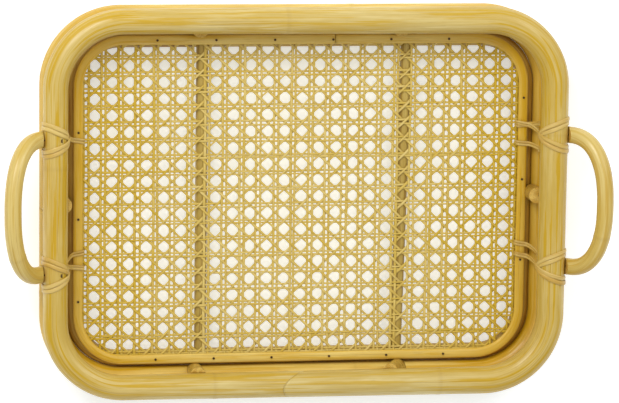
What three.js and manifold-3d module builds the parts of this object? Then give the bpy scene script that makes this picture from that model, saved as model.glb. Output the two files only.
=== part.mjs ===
// A handmade serving tray of bent rattan poles with a woven cane floor.
//
// Millimetres, +Z up. The origin is on the table under the middle of the tray: +X runs to the
// right handle, +Y to the back. Two pole rings stand one above the other on short pegs. A
// thinner ring inside the base ring carries the cane floor, which a nailed strip holds down.
import * as THREE from 'three';
import { mergeVertices } from 'three/addons/utils/BufferGeometryUtils.js';
import Module from 'manifold-3d';

const wasm = await Module();
wasm.setup();

// ---- driving dimensions -------------------------------------------------------------------

const TRAY_LENGTH = 390; // outside of the top rim, left to right
const TRAY_WIDTH = 290; // outside of the top rim, front to back
const RIM_CORNER = 60; // outside corner radius of the top rim

const RIM_POLE = 19.5; // pole diameters, flat to flat
const BASE_POLE = 19.5;
const FRAME_POLE = 11.5;
const BAR_POLE = 9;
const PEG_POLE = 12;
const HANDLE_POLE = 12.4;

const RING_GAP = 10; // clear height between the base ring and the top rim
const BASE_INSET = 0.5; // the base ring is this much smaller than the top rim all round
const FRAME_GAP = 0.3; // web frame to base ring all round
const FRAME_LIFT = 2.5; // underside of the web frame above the table

const WEB_THICKNESS = 1;
const TRIM_WIDTH = 7.1;
const TRIM_END_INSET = 2.5; // the trim of an end lies this much inside the frame's middle line
const TRIM_HEIGHT = 2.6;
const TRIM_EDGE = 0.9; // upright edge of the trim below its rounded top
const TRIM_SHOULDER = [0.62, 0.83]; // shares of half the width and of the height
const TRIM_JOINT_GAP = 0.6; // between the two ends of the trim strip
const TRIM_JOINT_X = -3; // where they meet, on the back side

const BAR_LEFT_X = -74.5; // middles of the two bars under the cane floor
const BAR_RIGHT_X = 76;
const BAR_RIGHT_TURN = 1.25; // degrees that the right bar is out of square

const HANDLE_SPREAD = 99; // between the two legs of a handle, middle to middle
const HANDLE_REACH = 37.2; // rim's outermost line to the middle of the handle's crown
const HANDLE_LEG = 4; // straight part of a leg, from that line
const HANDLE_SQUARENESS = 0.84; // 1 bends a handle round an ellipse, less makes it squarer
const HANDLE_SLOPE = 51; // degrees above level

const PEG_INSET = 6.2; // peg middle inside the middle line of the rings
const PEG_RIGHT_INSET = 10; // the right peg stands further in
const PEG_TOP_DROP = 5; // flat top of a peg below the middle of the rim
const PEG_FOOT_DROP = 5; // foot of a peg below the top of the base ring
const PEG_LEAN = 25; // degrees that the front right peg leans
const PEG_LEFT_X = -79; // pegs of the long sides
const PEG_RIGHT_X = 70;
const PEG_LEFT_END_Y = 0; // pegs of the two ends
const PEG_RIGHT_END_Y = 3;

const RIM_SCARF_X = -3; // where the ends of the rim pole meet, on the front side
const RIM_SCARF_SLOPE = 56; // degrees from a square cut, down under the pole's other end
const RIM_SCARF_LEAN = 15; // degrees that this slope leans out from straight down
const BASE_SCARF_Y = -11; // where the ends of the base pole meet, on the left side
const BASE_SCARF_SLOPE = 60;

const PEEL_THICKNESS = 0.9; // flat rattan peel of the lashings
const ARM_WIDTH = 5.8; // two strips side by side over the rim
const TIE_WIDTH = 3.6; // strips from the rim down to the cane floor
const TIE_TAIL = 3; // length of a strip's end under the web frame
// The ties beside each handle leg, one list for each tie: one strip, or two that part or meet.
// A strip is its distance behind the leg at the rim, and where it meets the floor.
const TIES = {
  right_front: [[[6.1, 14.6], [3.1, 6.4]]],
  right_back: [[[8, 3.4], [-0.7, 7.6]], [[-11.7, -8.7]]],
  left_front: [[[5.4, 12.2], [4.6, 0.4]]],
  left_back: [[[1.5, -4.8]]],
};

const PIN_LENGTH = 21; // nail from the rim into a handle leg
const PIN_HEAD_TURN = 115; // degrees up round the rim to its head, from the leg
const PIN_SLOPE = 20; // degrees that it slopes down towards the leg
const BAR_NAIL_LENGTH = 22; // nail from the web frame into a bar
const FRAME_NAIL_LENGTH = 21; // nail from the web frame into the base ring
const TRIM_NAIL_LENGTH = 9;
const FRAME_NAIL_ASIDE = 22; // each frame nail from the middle of its side
const PEG_NAIL_BITE = 6; // how far a peg nail goes into the rim
const PEG_NAIL_SHIFT = 1.7; // peg nail nearer to the rings' middle line than the peg's middle

const TRIM_NAILS_LONG = 6; // trim nails along a long side
const TRIM_NAIL_PITCH = 43.5; // between two of them
const LEG_Y = HANDLE_SPREAD / 2;
const TRIM_NAILS_END = { // across the tray, at the ends
  left: [-LEG_Y - 25, -13, LEG_Y + 1.8],
  right: [-LEG_Y + 1.5, 13, LEG_Y + 25],
};

const CONTACT_GAP = 0.3; // between pieces that touch
const FULL_TURN = 2 * Math.PI;

// ---- nails --------------------------------------------------------------------------------

const WIRE_NAIL = { shank: 0.9, head: 1.5, headHeight: 0.8, point: 2.2 };
const TRIM_NAIL = { shank: 0.5, head: 0.95, headHeight: 0.6, point: 1.2 };
const DRILL_RUN_OUT = 6; // a nail's hole runs this far out past its head
const NAIL_SIDES = 6;

// ---- how smooth the facets are --------------------------------------------------------------

const POLE_SIDES = 16;
const HANDLE_SIDES = 12;
const BEND_STEPS = 7; // steps round a corner of a ring
const CROWN_STEPS = 14; // steps round the bend of a handle
const ARM_STEPS = 22; // steps along a lashing over the rim
const TIE_STEPS = 24; // steps along a strip down to the floor

// ---- heights and middle lines that follow from them -----------------------------------------

const BASE_Z = BASE_POLE / 2;
const RIM_Z = BASE_POLE + RING_GAP + RIM_POLE / 2;
const FRAME_Z = FRAME_LIFT + FRAME_POLE / 2;
const WEB_BOTTOM = FRAME_LIFT + FRAME_POLE + CONTACT_GAP;
const WEB_TOP = WEB_BOTTOM + WEB_THICKNESS;
const TRIM_BOTTOM = WEB_TOP + CONTACT_GAP;
const TRIM_TOP = TRIM_BOTTOM + TRIM_HEIGHT;
const BAR_Z = WEB_BOTTOM - CONTACT_GAP - BAR_POLE / 2;

const rimLoop = {
  halfLength: (TRAY_LENGTH - RIM_POLE) / 2,
  halfWidth: (TRAY_WIDTH - RIM_POLE) / 2,
  radius: RIM_CORNER - RIM_POLE / 2,
  z: RIM_Z,
};
const baseLoop = {
  halfLength: (TRAY_LENGTH - BASE_POLE) / 2 - BASE_INSET,
  halfWidth: (TRAY_WIDTH - BASE_POLE) / 2 - BASE_INSET,
  radius: RIM_CORNER - BASE_INSET - BASE_POLE / 2,
  z: BASE_Z,
};
const besideBase = (BASE_POLE + FRAME_POLE) / 2;
const frameLoop = {
  halfLength: baseLoop.halfLength - besideBase - FRAME_GAP,
  halfWidth: baseLoop.halfWidth - besideBase - FRAME_GAP,
  radius: baseLoop.radius - besideBase - FRAME_GAP,
  z: FRAME_Z,
};
const trimLoop = {
  ...frameLoop, halfLength: frameLoop.halfLength - TRIM_END_INSET, z: TRIM_BOTTOM,
};

// ---- solids ---------------------------------------------------------------------------------

/** A three.js geometry as a manifold solid, moved by a matrix. */
function solidOf(geometry, matrix = new THREE.Matrix4()) {
  const plain = geometry.clone().applyMatrix4(matrix);
  plain.deleteAttribute('normal');
  plain.deleteAttribute('uv');
  const merged = mergeVertices(plain, 1e-4);
  const corners = merged.index.array;
  const triVerts = [];
  for (let i = 0; i < corners.length; i += 3) {
    const [a, b, c] = corners.slice(i, i + 3);
    if (a !== b && b !== c && c !== a) triVerts.push(a, b, c);
  }
  return new wasm.Manifold(new wasm.Mesh({
    numProp: 3,
    vertProperties: Float32Array.from(merged.attributes.position.array),
    triVerts: Uint32Array.from(triVerts),
  }));
}

/** A manifold solid back as a three.js geometry. */
function geometryOf(solid) {
  const { vertProperties, triVerts } = solid.getMesh();
  const geometry = new THREE.BufferGeometry();
  geometry.setAttribute('position', new THREE.BufferAttribute(vertProperties, 3));
  geometry.setIndex(new THREE.BufferAttribute(triVerts, 1));
  geometry.computeVertexNormals();
  return geometry;
}

/** Cuts the tools, given in the tray's own frame, out of a mesh that already has its place. */
function cut(mesh, tools) {
  mesh.updateWorldMatrix(true, false);
  let solid = solidOf(mesh.geometry, mesh.matrixWorld);
  for (const tool of tools) solid = solid.subtract(tool);
  mesh.geometry = geometryOf(solid).applyMatrix4(mesh.matrixWorld.clone().invert());
}

// ---- sweeping poles along a path --------------------------------------------------------------

/** A path given by its stations, so that a bend has many steps and a straight run has one. */
class StationPath extends THREE.Curve {
  constructor(stations) {
    super();
    this.stations = stations;
  }

  around(t) {
    const last = this.stations.length - 1;
    const index = Math.min(Math.floor(t * last), last - 1);
    return [this.stations[index], this.stations[index + 1], t * last - index];
  }

  getPoint(t, target = new THREE.Vector3()) {
    const [from, to, share] = this.around(t);
    return target.lerpVectors(from.point, to.point, share);
  }

  getTangent(t, target = new THREE.Vector3()) {
    const [from, to, share] = this.around(t);
    return target.lerpVectors(from.tangent, to.tangent, share).normalize();
  }

  getUtoTmapping(u) {
    return u;
  }
}

/** Sweeps a section along stations. Section x runs down, section y to the left of the way. */
function sweep(section, stations) {
  return new THREE.ExtrudeGeometry(section, {
    steps: stations.length - 1,
    curveSegments: 1,
    extrudePath: new StationPath(stations),
  });
}

/** A round pole's section, its flats facing up, down and to both sides. */
function poleSection(diameter, sides = POLE_SIDES) {
  const radius = diameter / 2 / Math.cos(Math.PI / sides);
  const corner = (i) => ((i + 0.5) / sides) * FULL_TURN;
  return new THREE.Shape(Array.from({ length: sides }, (_, i) => (
    new THREE.Vector2(radius * Math.cos(corner(i)), radius * Math.sin(corner(i)))
  )));
}

/** The trim's section: flat below, upright edges, and a rounded top. */
function trimSection(grow = 0) {
  const half = TRIM_WIDTH / 2 + grow;
  const shoulder = [half * TRIM_SHOULDER[0], TRIM_HEIGHT * TRIM_SHOULDER[1] + grow];
  const crown = [
    [-half, -grow], [half, -grow], [half, TRIM_EDGE + grow], shoulder, [0, TRIM_HEIGHT + grow],
    [-shoulder[0], shoulder[1]], [-half, TRIM_EDGE + grow],
  ];
  return new THREE.Shape(crown.map(([across, up]) => new THREE.Vector2(-up, across)));
}

/** Stations of one half of a rounded rectangle, from front middle to back middle or back. */
function halfLoop(loop, side) {
  const station = (x, y, tx, ty) => ({
    point: new THREE.Vector3(side * x, side * y, loop.z),
    tangent: new THREE.Vector3(side * tx, side * ty, 0),
  });
  const stations = [station(0, -loop.halfWidth, 1, 0)];
  for (const end of [-1, 1]) {
    for (let i = 0; i <= BEND_STEPS; i += 1) {
      const angle = ((i / BEND_STEPS) + (end - 1) / 2) * (Math.PI / 2);
      const x = loop.halfLength - loop.radius * (1 - Math.cos(angle));
      const y = end * (loop.halfWidth - loop.radius) + loop.radius * Math.sin(angle);
      stations.push(station(x, y, -Math.sin(angle), Math.cos(angle)));
    }
  }
  stations.push(station(0, loop.halfWidth, -1, 0));
  return stations;
}

/** A closed ring of a section round a loop. */
function ring(section, loop) {
  const [right, left] = [1, -1].map((side) => solidOf(sweep(section, halfLoop(loop, side))));
  return right.add(left);
}

/**
 * A thin slab that parts a ring where the two ends of its pole meet. It faces the way across,
 * turned by a slope in degrees to the way aside.
 */
function jointSlab(gap, at, across, aside = across, slope = 0) {
  const reach = 4 * BASE_POLE;
  const turn = THREE.MathUtils.degToRad(slope);
  const facing = across.clone().multiplyScalar(Math.cos(turn));
  facing.addScaledVector(aside, Math.sin(turn)).normalize();
  const place = new THREE.Matrix4().makeRotationFromQuaternion(
    new THREE.Quaternion().setFromUnitVectors(new THREE.Vector3(1, 0, 0), facing),
  );
  place.setPosition(at);
  return solidOf(new THREE.BoxGeometry(gap, reach, reach), place);
}

// ---- materials ------------------------------------------------------------------------------

const finish = (color, roughness, metalness = 0) => (
  new THREE.MeshStandardMaterial({ color, roughness, metalness })
);
const RATTAN_POLE = finish(0xd4ba64, 0.38);
const HANDLE_RATTAN = finish(0xe3ca7c, 0.38);
const TRIM_RATTAN = finish(0xc9a84e, 0.45);
const CANE = finish(0xcfb357, 0.5);
const PEEL = finish(0xdcc274, 0.42);
const END_GRAIN = finish(0xd8b54c, 0.6);
const NAIL_STEEL = finish(0x4a3b24, 0.5, 0.8);

const tray = new THREE.Group();
tray.name = 'serving_tray';

function addMesh(parent, name, geometry, material) {
  const mesh = new THREE.Mesh(geometry, material);
  mesh.name = name;
  parent.add(mesh);
  return mesh;
}

// ---- rings, cane floor and trim ---------------------------------------------------------------

const rimEnvelope = ring(poleSection(RIM_POLE + 2 * CONTACT_GAP), rimLoop);
const baseEnvelope = ring(poleSection(BASE_POLE + 2 * CONTACT_GAP), baseLoop);
const frameEnvelope = ring(poleSection(FRAME_POLE + 2 * CONTACT_GAP), frameLoop);
const trimEnvelope = ring(trimSection(CONTACT_GAP), trimLoop);

const ALONG_X = new THREE.Vector3(1, 0, 0);
const ALONG_Y = new THREE.Vector3(0, 1, 0);
const scarfLean = THREE.MathUtils.degToRad(RIM_SCARF_LEAN);
const rimScarf = jointSlab(
  CONTACT_GAP, new THREE.Vector3(RIM_SCARF_X, -rimLoop.halfWidth, RIM_Z), ALONG_X,
  new THREE.Vector3(0, -Math.sin(scarfLean), Math.cos(scarfLean)), RIM_SCARF_SLOPE,
);
const baseScarf = jointSlab(
  CONTACT_GAP, new THREE.Vector3(-baseLoop.halfLength, BASE_SCARF_Y, BASE_Z), ALONG_X,
  ALONG_Y, BASE_SCARF_SLOPE,
);
const trimJoint = jointSlab(
  TRIM_JOINT_GAP, new THREE.Vector3(TRIM_JOINT_X, trimLoop.halfWidth, TRIM_BOTTOM), ALONG_X,
);

const topRim = addMesh(tray, 'top_rim', geometryOf(
  ring(poleSection(RIM_POLE), rimLoop).subtract(rimScarf),
), RATTAN_POLE);
const baseRing = addMesh(tray, 'base_ring', geometryOf(
  ring(poleSection(BASE_POLE), baseLoop).subtract(baseScarf),
), RATTAN_POLE);
const webFrame = addMesh(tray, 'web_frame', geometryOf(
  ring(poleSection(FRAME_POLE), frameLoop),
), RATTAN_POLE);
const webTrim = addMesh(tray, 'web_trim', geometryOf(
  ring(trimSection(), trimLoop).subtract(trimJoint),
), TRIM_RATTAN);

/** The cane floor's outline, as far out as the trim's outer edge. */
function webOutline() {
  const halfLength = trimLoop.halfLength + TRIM_WIDTH / 2;
  const halfWidth = trimLoop.halfWidth + TRIM_WIDTH / 2;
  const radius = trimLoop.radius + TRIM_WIDTH / 2;
  const outline = new THREE.Shape();
  const corners = [[1, -1], [1, 1], [-1, 1], [-1, -1]];
  corners.forEach(([sx, sy], i) => {
    const start = (i - 1) * (Math.PI / 2);
    outline.absarc(
      sx * (halfLength - radius), sy * (halfWidth - radius), radius, start, start + Math.PI / 2,
    );
  });
  return outline;
}

const caneWebbing = addMesh(tray, 'cane_webbing', new THREE.ExtrudeGeometry(webOutline(), {
  depth: WEB_THICKNESS, bevelEnabled: false, curveSegments: BEND_STEPS,
}), CANE);
caneWebbing.position.z = WEB_BOTTOM;
const webEnvelope = solidOf(new THREE.ExtrudeGeometry(webOutline(), {
  depth: WEB_THICKNESS + 2 * CONTACT_GAP, bevelEnabled: false, curveSegments: BEND_STEPS,
}), new THREE.Matrix4().makeTranslation(0, 0, WEB_BOTTOM - CONTACT_GAP));

// ---- cross bars -------------------------------------------------------------------------------

/** A bar under the cane floor, its two ends hollowed to fit the web frame. */
function crossBar(name, x, turn) {
  const length = 2 * frameLoop.halfWidth;
  const radius = BAR_POLE / 2;
  const shape = new THREE.CylinderGeometry(radius, radius, length, POLE_SIDES);
  const bar = addMesh(tray, name, shape, RATTAN_POLE);
  bar.position.set(x, 0, BAR_Z);
  bar.rotation.z = THREE.MathUtils.degToRad(turn);
  cut(bar, [frameEnvelope]);
  return bar;
}

const bars = [
  crossBar('cross_bar_left', BAR_LEFT_X, 0),
  crossBar('cross_bar_right', BAR_RIGHT_X, -BAR_RIGHT_TURN),
];

// ---- nails ------------------------------------------------------------------------------------

/** A nail's profile from head to point, grown by a clearance for its hole. */
function nailProfile(kind, length, grow = 0, runOut = 0) {
  const head = -kind.headHeight - runOut;
  return [
    [0, head], [kind.head + grow, head], [kind.head + grow, grow], [kind.shank + grow, grow],
    [kind.shank + grow, length - kind.point + grow], [0, length + grow],
  ].map(([x, y]) => new THREE.Vector2(x, y));
}

/** Adds a nail, the underside of its head at a point, and drills the pieces that it holds. */
function drive(parent, name, kind, length, at, direction, pieces) {
  const shape = new THREE.LatheGeometry(nailProfile(kind, length), NAIL_SIDES);
  const nail = addMesh(parent, name, shape, NAIL_STEEL);
  nail.position.copy(at);
  nail.quaternion.setFromUnitVectors(new THREE.Vector3(0, 1, 0), direction);
  nail.updateWorldMatrix(true, false);
  const hole = new THREE.LatheGeometry(
    nailProfile(kind, length, CONTACT_GAP, DRILL_RUN_OUT), NAIL_SIDES,
  );
  const drill = solidOf(hole, nail.matrixWorld);
  for (const piece of pieces) cut(piece, [drill]);
}

// ---- spacer pegs ------------------------------------------------------------------------------

const PEGS = [
  { name: 'front_left', x: PEG_LEFT_X, side: [0, -1], inset: PEG_INSET, lean: 0 },
  { name: 'front_right', x: PEG_RIGHT_X, side: [0, -1], inset: PEG_INSET, lean: PEG_LEAN },
  { name: 'back_left', x: PEG_LEFT_X, side: [0, 1], inset: PEG_INSET, lean: 0 },
  { name: 'back_right', x: PEG_RIGHT_X, side: [0, 1], inset: PEG_INSET, lean: 0 },
  { name: 'left', y: PEG_LEFT_END_Y, side: [-1, 0], inset: PEG_INSET, lean: 0 },
  { name: 'right', y: PEG_RIGHT_END_Y, side: [1, 0], inset: PEG_RIGHT_INSET, lean: 0 },
];

/** A point over the rings' middle line, moved in towards the middle of the tray. */
function insideRings({ x = 0, y = 0, side: [sx, sy] }, inset, z) {
  return new THREE.Vector3(
    sx ? sx * (baseLoop.halfLength - inset) : x, sy ? sy * (baseLoop.halfWidth - inset) : y, z,
  );
}

/** A peg hollowed over the base ring and under the top rim, and its nail from below. */
function spacerPeg(peg) {
  const top = RIM_Z - PEG_TOP_DROP;
  const foot = BASE_POLE - PEG_FOOT_DROP;
  const stretch = 2 * PEG_POLE * Math.sin(THREE.MathUtils.degToRad(peg.lean));
  const shape = new THREE.CylinderGeometry(
    PEG_POLE / 2, PEG_POLE / 2, top - foot + stretch, POLE_SIDES,
  );
  const mesh = addMesh(tray, `spacer_${peg.name}`, shape.rotateX(Math.PI / 2), END_GRAIN);
  mesh.position.copy(insideRings(peg, peg.inset, (top + foot) / 2));
  mesh.rotation.y = THREE.MathUtils.degToRad(-peg.lean);
  const slab = (z) => solidOf(
    new THREE.BoxGeometry(TRAY_LENGTH, TRAY_WIDTH, RIM_Z),
    new THREE.Matrix4().makeTranslation(0, 0, z),
  );
  const above = slab(top + RIM_Z / 2);
  const below = slab(foot - RIM_Z / 2);
  const neighbours = [rimEnvelope, baseEnvelope, frameEnvelope, trimEnvelope, webEnvelope];
  cut(mesh, [...neighbours, above, below]);

  const nailInset = peg.inset - PEG_NAIL_SHIFT;
  const headEdge = Math.min(nailInset + WIRE_NAIL.head, BASE_POLE / 2 - CONTACT_GAP);
  const underside = BASE_Z - Math.sqrt((BASE_POLE / 2) ** 2 - headEdge ** 2);
  const head = underside + WIRE_NAIL.headHeight;
  const rimUnderside = RIM_Z - Math.sqrt((RIM_POLE / 2) ** 2 - nailInset ** 2);
  drive(
    tray, `spacer_nail_${peg.name}`, WIRE_NAIL, rimUnderside + PEG_NAIL_BITE - head,
    insideRings(peg, nailInset, head), new THREE.Vector3(0, 0, 1), [baseRing, mesh, topRim],
  );
}

PEGS.forEach(spacerPeg);

// ---- handles ----------------------------------------------------------------------------------

/** Stations of a handle in its own plane: out along one leg, round the bend, and back. */
function handlePath() {
  const stations = [];
  for (let i = 0; i <= CROWN_STEPS; i += 1) {
    const turn = Math.PI * (i / CROWN_STEPS - 0.5);
    const [far, wide] = [Math.cos(turn), Math.sin(turn)];
    const along = new THREE.Vector2(
      HANDLE_LEG + (HANDLE_REACH - HANDLE_LEG) * Math.max(far, 0) ** HANDLE_SQUARENESS,
      Math.sign(wide) * (HANDLE_SPREAD / 2) * Math.abs(wide) ** HANDLE_SQUARENESS,
    );
    stations.push(new THREE.Vector3(along.x, along.y, 0));
  }
  const leg = (side) => new THREE.Vector3(-HANDLE_POLE, side * (HANDLE_SPREAD / 2), 0);
  const points = [leg(-1), ...stations, leg(1)];
  return points.map((point, i) => {
    const from = points[Math.max(i - 1, 0)];
    const to = points[Math.min(i + 1, points.length - 1)];
    const tangent = i <= 1 || i >= points.length - 2
      ? new THREE.Vector3(i <= 1 ? 1 : -1, 0, 0) : to.clone().sub(from).normalize();
    return { point, tangent };
  });
}

function addHandle(end, side, names) {
  const mount = new THREE.Group();
  mount.position.set(rimLoop.halfLength + RIM_POLE / 2, 0, RIM_Z);
  mount.rotation.y = THREE.MathUtils.degToRad(-HANDLE_SLOPE);
  end.add(mount);
  const shape = sweep(poleSection(HANDLE_POLE, HANDLE_SIDES), handlePath());
  const handle = addMesh(mount, `handle_${side}`, shape, HANDLE_RATTAN);
  // the legs are cut off plumb and butt against the rim's outermost line
  end.updateWorldMatrix(true, false);
  const inside = new THREE.BoxGeometry(4 * RIM_POLE, 2 * HANDLE_SPREAD, 6 * RIM_POLE);
  inside.translate(rimLoop.halfLength + RIM_POLE / 2 + CONTACT_GAP - 2 * RIM_POLE, 0, RIM_Z);
  cut(handle, [solidOf(inside, end.matrixWorld)]);
  const headTurn = THREE.MathUtils.degToRad(PIN_HEAD_TURN);
  const pinTurn = THREE.MathUtils.degToRad(PIN_SLOPE);
  const head = RIM_POLE / 2 - WIRE_NAIL.headHeight - CONTACT_GAP;
  names.forEach((name, i) => {
    const at = new THREE.Vector3(
      rimLoop.halfLength + head * Math.cos(headTurn), (i - 0.5) * HANDLE_SPREAD,
      RIM_Z + head * Math.sin(headTurn),
    );
    const out = new THREE.Vector3(Math.cos(pinTurn), 0, -Math.sin(pinTurn));
    drive(end, `handle_pin_${side}_${name}`, WIRE_NAIL, PIN_LENGTH, at, out, [topRim, handle]);
  });
}

// ---- lashings ---------------------------------------------------------------------------------

/** Flat peel along a route of points, each with the way its outer face looks. */
function peelBand(route, width, steps) {
  const shape = new THREE.BoxGeometry(width, PEEL_THICKNESS, 1, 1, 1, steps);
  const places = shape.attributes.position;
  const step = 1e-3;
  for (let i = 0; i < places.count; i += 1) {
    const share = THREE.MathUtils.clamp(places.getZ(i) + 0.5, 0, 1);
    const { point, face } = route(share);
    const ahead = route(Math.min(share + step, 1)).point;
    const along = ahead.clone().sub(route(Math.max(share - step, 0)).point).normalize();
    const across = face.clone().cross(along).normalize();
    const outward = along.clone().cross(across);
    const place = point.clone();
    place.addScaledVector(across, places.getX(i)).addScaledVector(outward, places.getY(i));
    places.setXYZ(i, place.x, place.y, place.z);
  }
  return solidOf(shape);
}

/** How far the middle of a peel strip lies from the middle of the pole that it goes round. */
const wrapRadius = (pole) => (
  pole / 2 / Math.cos(Math.PI / POLE_SIDES) + CONTACT_GAP + PEEL_THICKNESS / 2
);

/** One arm: from under the handle leg, past its side, over the rim to the tray's inside. */
function armRoute(hand) {
  const besideLeg = HANDLE_POLE / 2 + CONTACT_GAP + ARM_WIDTH / 2;
  const radius = wrapRadius(RIM_POLE);
  // degrees round the rim from level, and the distance aside from the leg as a share
  const way = new THREE.CatmullRomCurve3([
    [-66, -0.12], [-54, 0.45], [-30, 1], [10, 1.1], [55, 1.04], [100, 0.74], [145, 0.36],
    [194, -0.1],
  ].map(([angle, aside]) => new THREE.Vector3(angle, aside * besideLeg, 0)));
  return (share) => {
    const { x: angle, y: aside } = way.getPointAt(share);
    const turn = THREE.MathUtils.degToRad(angle);
    const face = new THREE.Vector3(Math.cos(turn), 0, Math.sin(turn));
    const point = face.clone().multiplyScalar(radius);
    point.y = hand * aside;
    return { point, face };
  };
}

/** Where a tie goes down through the cane: inside both the trim and the frame. */
function tieDropX() {
  const besideTrim = TRIM_WIDTH / 2 + CONTACT_GAP + PEEL_THICKNESS / 2;
  return Math.min(
    frameLoop.halfLength - wrapRadius(FRAME_POLE), trimLoop.halfLength - besideTrim,
  );
}

/** One strip: from the rim's inside, over the trim, down through the floor, under the frame. */
function tieRoute(atRim, atFloor) {
  const rimX = rimLoop.halfLength;
  const frameX = frameLoop.halfLength;
  const trimX = trimLoop.halfLength;
  const onRim = (angle, radius) => {
    const turn = THREE.MathUtils.degToRad(angle);
    return [rimX + radius * Math.cos(turn), RIM_Z + radius * Math.sin(turn)];
  };
  const roundFrame = (angle) => {
    const turn = THREE.MathUtils.degToRad(angle);
    const radius = wrapRadius(FRAME_POLE);
    return [frameX + radius * Math.cos(turn), FRAME_Z + radius * Math.sin(turn)];
  };
  const overTrim = TRIM_TOP + CONTACT_GAP + PEEL_THICKNESS / 2;
  const halfTrim = TRIM_WIDTH / 2;
  const insideTrim = tieDropX();
  // across the tray, height, and the share of the way from atRim to atFloor
  const way = new THREE.CatmullRomCurve3([
    [...onRim(205, wrapRadius(RIM_POLE)), 0], [...onRim(216, wrapRadius(RIM_POLE) + 0.3), 0.05],
    [trimX + halfTrim + 4.4, overTrim + 7, 0.4], [trimX + halfTrim + 1, overTrim + 1.2, 0.72],
    [trimX, overTrim + 0.1, 0.85], [trimX - halfTrim, overTrim - 0.3, 0.95],
    [insideTrim - 0.1, TRIM_BOTTOM + 0.6, 1], [insideTrim - 0.2, WEB_BOTTOM, 1],
    [...roundFrame(180), 1], [...roundFrame(225), 1], [...roundFrame(270), 1],
    [frameX + TIE_TAIL, FRAME_LIFT - CONTACT_GAP - PEEL_THICKNESS / 2, 1],
  ].map(([x, z, share]) => new THREE.Vector3(x, atRim + share * (atFloor - atRim), z)));
  return (share) => {
    const step = 1e-3;
    const point = way.getPointAt(share);
    const from = way.getPointAt(Math.max(share - step, 0));
    const along = way.getPointAt(Math.min(share + step, 1)).sub(from);
    return { point, face: new THREE.Vector3(along.z, 0, -along.x).normalize() };
  };
}

/** The lashing at one handle leg, and the tie below it that holds rim and floor together. */
function addLashings(end, side, names) {
  const toBack = side === 'right' ? 1 : -1; // the back of the tray, as this end has it
  names.forEach((name, i) => {
    const legY = (i - 0.5) * HANDLE_SPREAD;
    const arms = [-1, 1].map((hand) => peelBand(armRoute(hand), ARM_WIDTH, ARM_STEPS));
    const lashing = addMesh(
      end, `handle_lashing_${side}_${name}`, geometryOf(arms[0].add(arms[1])), PEEL,
    );
    lashing.position.set(rimLoop.halfLength, legY, RIM_Z);

    const slot = new THREE.BoxGeometry(
      PEEL_THICKNESS + 4 * CONTACT_GAP, TIE_WIDTH + 2 * CONTACT_GAP, 4 * WEB_THICKNESS,
    );
    const slotX = tieDropX() - CONTACT_GAP / 2;
    end.updateWorldMatrix(true, false);
    TIES[`${side}_${name}`].forEach((strips, n) => {
      const bands = strips.map(([atRim, atFloor]) => (
        peelBand(tieRoute(toBack * atRim, toBack * atFloor), TIE_WIDTH, TIE_STEPS)
      ));
      const tieName = `floor_tie_${side}_${name}${n ? `_${n + 1}` : ''}`;
      const tieGeometry = geometryOf(bands.reduce((all, band) => all.add(band)));
      addMesh(end, tieName, tieGeometry, PEEL).position.y = legY;
      cut(caneWebbing, strips.map(([, atFloor]) => solidOf(
        slot, new THREE.Matrix4().makeTranslation(
          slotX, legY + toBack * atFloor, (WEB_BOTTOM + WEB_TOP) / 2,
        ).premultiply(end.matrixWorld),
      )));
    });
  });
}

const ENDS = [['right', 0, ['front', 'back']], ['left', Math.PI, ['back', 'front']]];
for (const [side, turn, names] of ENDS) {
  const end = new THREE.Group();
  end.rotation.z = turn;
  tray.add(end);
  addHandle(end, side, names);
  addLashings(end, side, names);
}

// ---- nails of the floor -------------------------------------------------------------------------

/** Bar nails: in from the web frame's outer side, along the bar. */
bars.forEach((bar) => {
  const turn = bar.rotation.z;
  [['front', -1], ['back', 1]].forEach(([name, sign]) => {
    const depth = frameLoop.halfWidth + FRAME_POLE / 2 - CONTACT_GAP - WIRE_NAIL.headHeight;
    const inward = new THREE.Vector3(sign * Math.sin(turn), -sign * Math.cos(turn), 0);
    const at = bar.position.clone().addScaledVector(inward, -depth / Math.cos(turn));
    at.z = FRAME_Z + (BAR_Z - FRAME_Z) / 2;
    const nailName = `${bar.name.replace('cross_bar', 'bar_nail')}_${name}`;
    drive(tray, nailName, WIRE_NAIL, BAR_NAIL_LENGTH, at, inward, [webFrame, bar]);
  });
});

/** Frame nails: from the web frame's inner side out into the base ring, one on each side. */
const FRAME_NAILS = [['front', 0, -1], ['back', 0, 1], ['left', -1, 0], ['right', 1, 0]];
FRAME_NAILS.forEach(([name, sx, sy]) => {
  const depth = FRAME_POLE / 2 - CONTACT_GAP - WIRE_NAIL.headHeight;
  const outward = new THREE.Vector3(sx, sy, 0);
  const at = new THREE.Vector3(
    sx * (frameLoop.halfLength - depth), sy * (frameLoop.halfWidth - depth), FRAME_Z,
  ).add(new THREE.Vector3(-sy, sx, 0).multiplyScalar(FRAME_NAIL_ASIDE));
  drive(tray, `frame_nail_${name}`, WIRE_NAIL, FRAME_NAIL_LENGTH, at, outward, [webFrame, baseRing]);
});

/** Trim nails: down through the trim and the cane into the web frame. */
function trimNail(name, x, y) {
  const at = new THREE.Vector3(x, y, TRIM_TOP + TRIM_NAIL.headHeight / 2 - CONTACT_GAP);
  const down = new THREE.Vector3(0, 0, -1);
  const pieces = [webTrim, caneWebbing, webFrame];
  drive(tray, `trim_nail_${name}`, TRIM_NAIL, TRIM_NAIL_LENGTH, at, down, pieces);
}

for (const [name, side] of [['front', -1], ['back', 1]]) {
  for (let i = 0; i < TRIM_NAILS_LONG; i += 1) {
    const x = (i - (TRIM_NAILS_LONG - 1) / 2) * TRIM_NAIL_PITCH;
    trimNail(`${name}_${i + 1}`, x, side * trimLoop.halfWidth);
  }
}

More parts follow.
